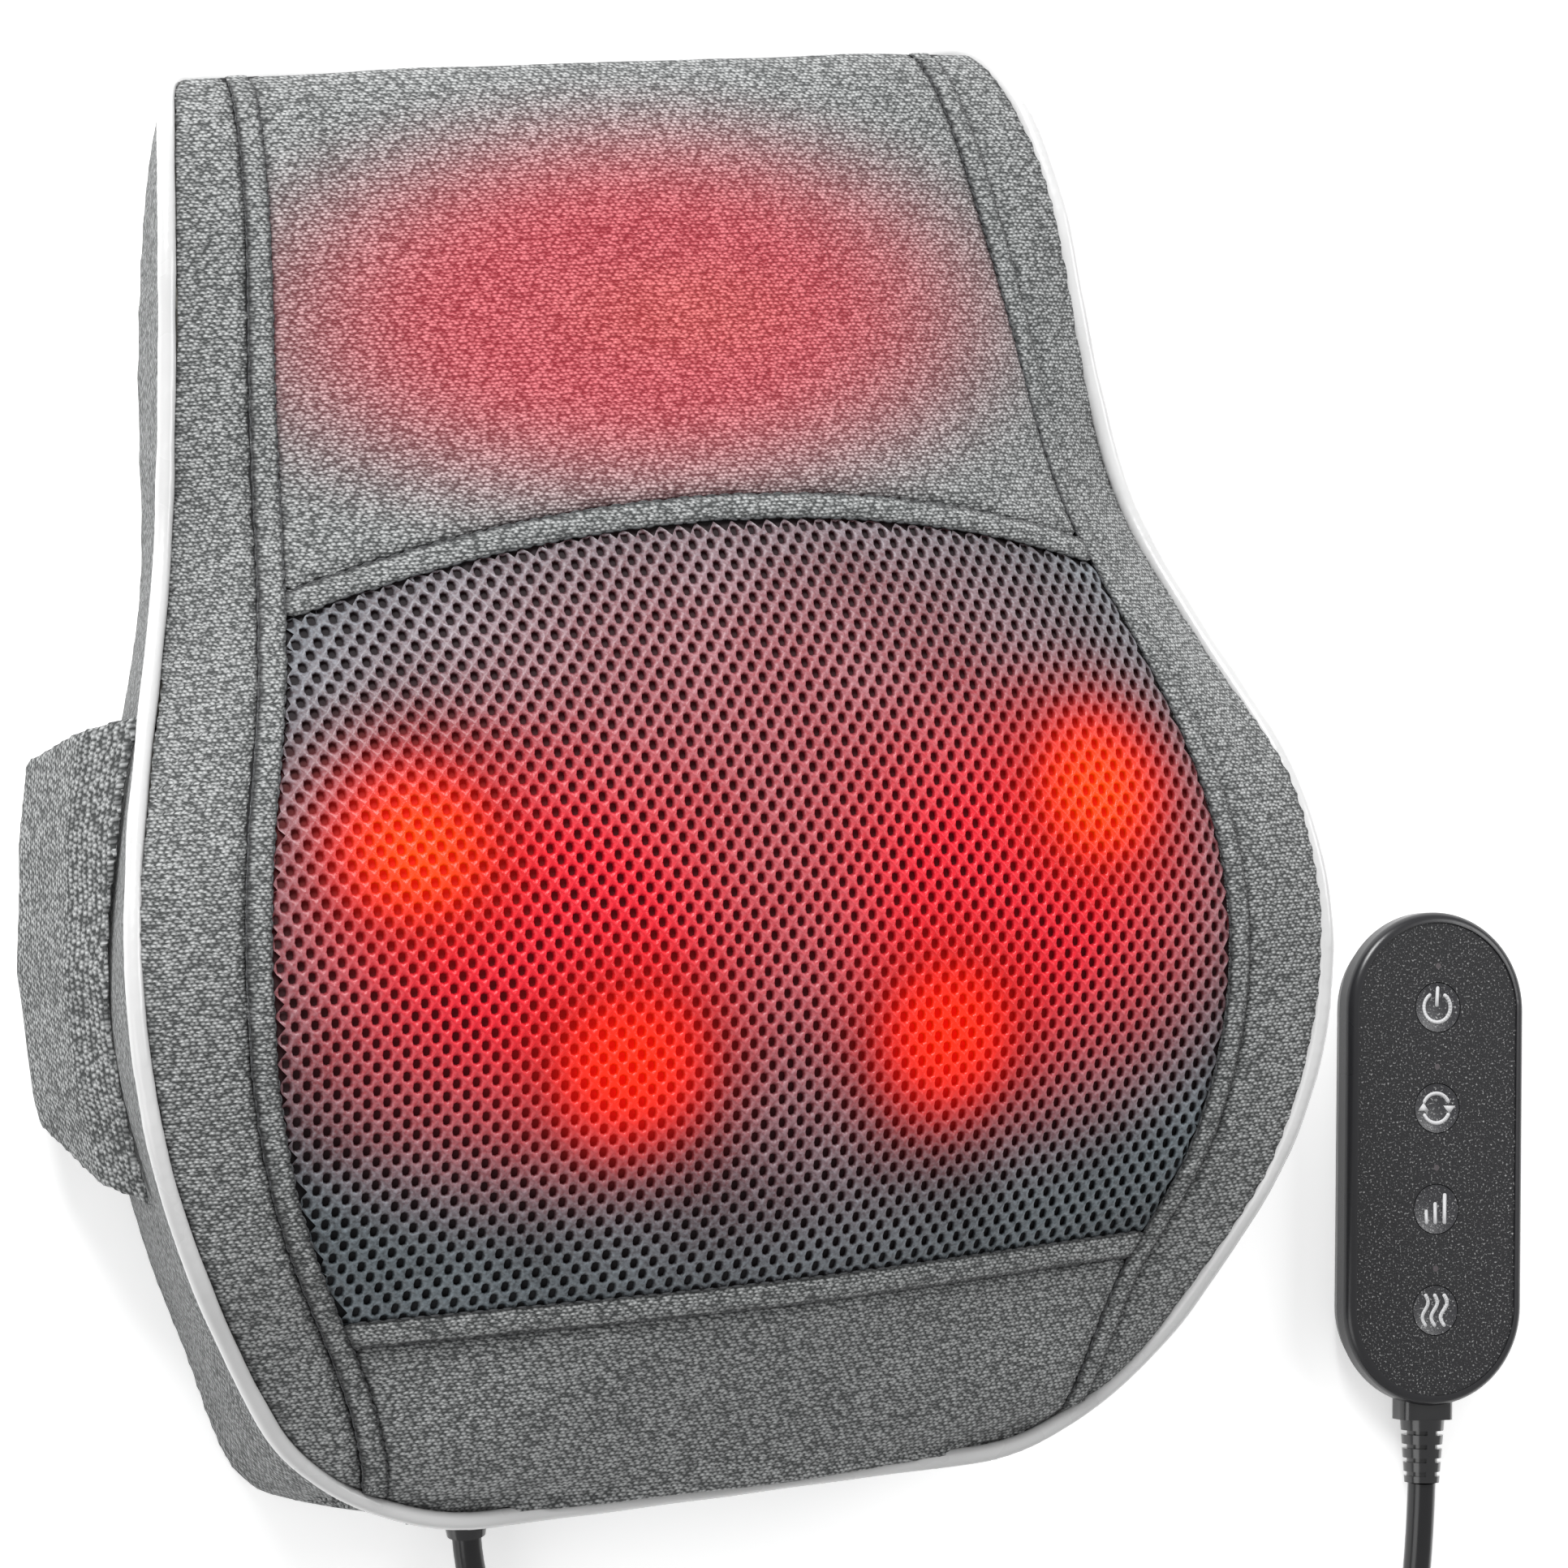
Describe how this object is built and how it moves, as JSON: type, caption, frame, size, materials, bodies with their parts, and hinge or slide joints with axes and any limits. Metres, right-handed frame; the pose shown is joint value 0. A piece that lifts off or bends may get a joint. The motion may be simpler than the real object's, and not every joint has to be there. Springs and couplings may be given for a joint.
{
  "type": "shiatsu massage pillow",
  "caption": "Bell-shaped heated shiatsu massage pillow with counter-turning massage rotors under an air-mesh window, a back strap and a wired push-button handset on a coiled cord.",
  "frame": {"origin": "on the flat back face, on the centre line, in line with the middle of the back", "axes": "+Z out of the front (the massage side), +Y to the neck end, +X to the side where the handset lies; the pillow lies on its back"},
  "size_m": [0.4121, 0.522, 0.1143],
  "materials": {
    "grey_weave": "heather grey linen-look weave",
    "air_mesh": "slate three-dimensional air mesh",
    "white_piping": "satin white piping",
    "back_cloth": "dark grey backing cloth",
    "strap_cloth": "heather grey weave",
    "elastic": "ribbed black elastic",
    "foam": "open-cell foam",
    "heating_film": "polyimide heating film",
    "shell_plastic": "moulded casing plastic",
    "gear_nylon": "natural nylon",
    "steel": "bright steel",
    "bronze": "sintered bronze",
    "arm_plastic": "glass-filled nylon",
    "node_plastic": "translucent red massage node",
    "circuit_board": "green circuit board",
    "zip_tape": "grey zip tape",
    "zip_metal": "grey metal",
    "black_moulding": "black moulded rubber",
    "handset_case": "smooth dark grey plastic",
    "handset_grain": "sparkle-grained black plastic",
    "button_plastic": "soft black plastic",
    "lamp": "frosted light pipe",
    "cord_sheath": "glossy black sheath",
    "tie_cloth": "black hook-and-loop tie"
  },
  "bodies": {
    "root": {"arch_band": "grey_weave", "back_elastic": "elastic", "back_panel": "back_cloth", "back_shell": "shell_plastic", "border_panel_left": "grey_weave", "border_panel_right": "grey_weave", "bottom_foam": "foam", "bottom_panel": "grey_weave", "case_screws": "steel", "control_board": "circuit_board", "cord_coil": "cord_sheath", "cord_gland": "black_moulding", "cord_lead": "cord_sheath", "cord_tail": "cord_sheath", "cord_tie": "tie_cloth", "front_shell": "shell_plastic", "gear_cover": "shell_plastic", "gusset": "grey_weave", "handset_bezel": "handset_case", "handset_board": "circuit_board", "handset_case": "handset_case", "handset_faceplate": "handset_grain", "handset_lamps": "lamp", "handset_strain_relief": "black_moulding", "heating_film": "heating_film", "lower_band": "grey_weave", "mesh_panel": "air_mesh", "motor": "steel", "motor_clamp": "steel", "neck_foam": "foam", "piping": "white_piping", "power_inlet": "black_moulding", "shaft_bushes": "bronze", "side_foam_left": "foam", "side_foam_right": "foam", "strap_wing_left": "strap_cloth", "strap_wing_right": "strap_cloth", "top_panel": "grey_weave", "welt_left": "grey_weave", "welt_right": "grey_weave", "zip_tape": "zip_tape"},
    "left_rotor": {"worm_wheel_left": "gear_nylon", "output_shaft_left": "steel", "rotor_arm_left": "arm_plastic", "node_pins_left": "steel"},
    "right_rotor": {"worm_wheel_right": "gear_nylon", "output_shaft_right": "steel", "rotor_arm_right": "arm_plastic", "node_pins_right": "steel"},
    "worm_drive": {"drive_worm": "steel"},
    "upper_node_left": {"massage_node_upper_left": "node_plastic"},
    "lower_node_left": {"massage_node_lower_left": "node_plastic"},
    "upper_node_right": {"massage_node_upper_right": "node_plastic"},
    "lower_node_right": {"massage_node_lower_right": "node_plastic"},
    "power_button": {"button_power": "button_plastic"},
    "direction_button": {"button_direction": "button_plastic"},
    "intensity_button": {"button_intensity": "button_plastic"},
    "heat_button": {"button_heat": "button_plastic"},
    "zip_runner": {"zip_slider": "zip_metal"},
    "zip_tab": {"zip_pull": "zip_metal"}
  },
  "joints": [
    {"name": "left_rotor_spin", "type": "hinge", "parent": "root", "child": "left_rotor", "pos_m": [-0.064, -0.03, 0.0245], "axis": [0, 0, 1], "continuous": true},
    {"name": "right_rotor_spin", "type": "hinge", "parent": "root", "child": "right_rotor", "pos_m": [0.064, -0.03, 0.0245], "axis": [0, 0, 1], "continuous": true},
    {"name": "worm_spin", "type": "hinge", "parent": "root", "child": "worm_drive", "pos_m": [0, -0.03, 0.0245], "axis": [0, 1, 0], "continuous": true},
    {"name": "upper_node_left_spin", "type": "hinge", "parent": "left_rotor", "child": "upper_node_left", "pos_m": [-0.08714, -0.00242, 0.075], "axis": [0, 0, 1], "continuous": true},
    {"name": "lower_node_left_spin", "type": "hinge", "parent": "left_rotor", "child": "lower_node_left", "pos_m": [-0.04086, -0.05758, 0.075], "axis": [0, 0, 1], "continuous": true},
    {"name": "upper_node_right_spin", "type": "hinge", "parent": "right_rotor", "child": "upper_node_right", "pos_m": [0.08714, -0.00242, 0.075], "axis": [0, 0, 1], "continuous": true},
    {"name": "lower_node_right_spin", "type": "hinge", "parent": "right_rotor", "child": "lower_node_right", "pos_m": [0.04086, -0.05758, 0.075], "axis": [0, 0, 1], "continuous": true},
    {"name": "power_press", "type": "slide", "parent": "root", "child": "power_button", "axis": [0, 0, -1], "range_m": [0, 0.0008], "stiffness_N_per_m": 400, "springref_m": -0.0005},
    {"name": "direction_press", "type": "slide", "parent": "root", "child": "direction_button", "axis": [0, 0, -1], "range_m": [0, 0.0008], "stiffness_N_per_m": 400, "springref_m": -0.0005},
    {"name": "intensity_press", "type": "slide", "parent": "root", "child": "intensity_button", "axis": [0, 0, -1], "range_m": [0, 0.0008], "stiffness_N_per_m": 400, "springref_m": -0.0005},
    {"name": "heat_press", "type": "slide", "parent": "root", "child": "heat_button", "axis": [0, 0, -1], "range_m": [0, 0.0008], "stiffness_N_per_m": 400, "springref_m": -0.0005},
    {"name": "zip_run", "type": "slide", "parent": "root", "child": "zip_runner", "axis": [-1, 0, 0], "range_m": [0, 0.148]},
    {"name": "zip_tab_swing", "type": "hinge", "parent": "zip_runner", "child": "zip_tab", "pos_m": [0.074, -0.17081, 0.02803], "axis": [0, -0.2194, 0.9756], "range_deg": [0, 175]}
  ],
  "couplings": [
    {"joint": "right_rotor_spin", "follows": "left_rotor_spin", "ratio": -1},
    {"joint": "worm_spin", "follows": "left_rotor_spin", "ratio": -72}
  ]
}
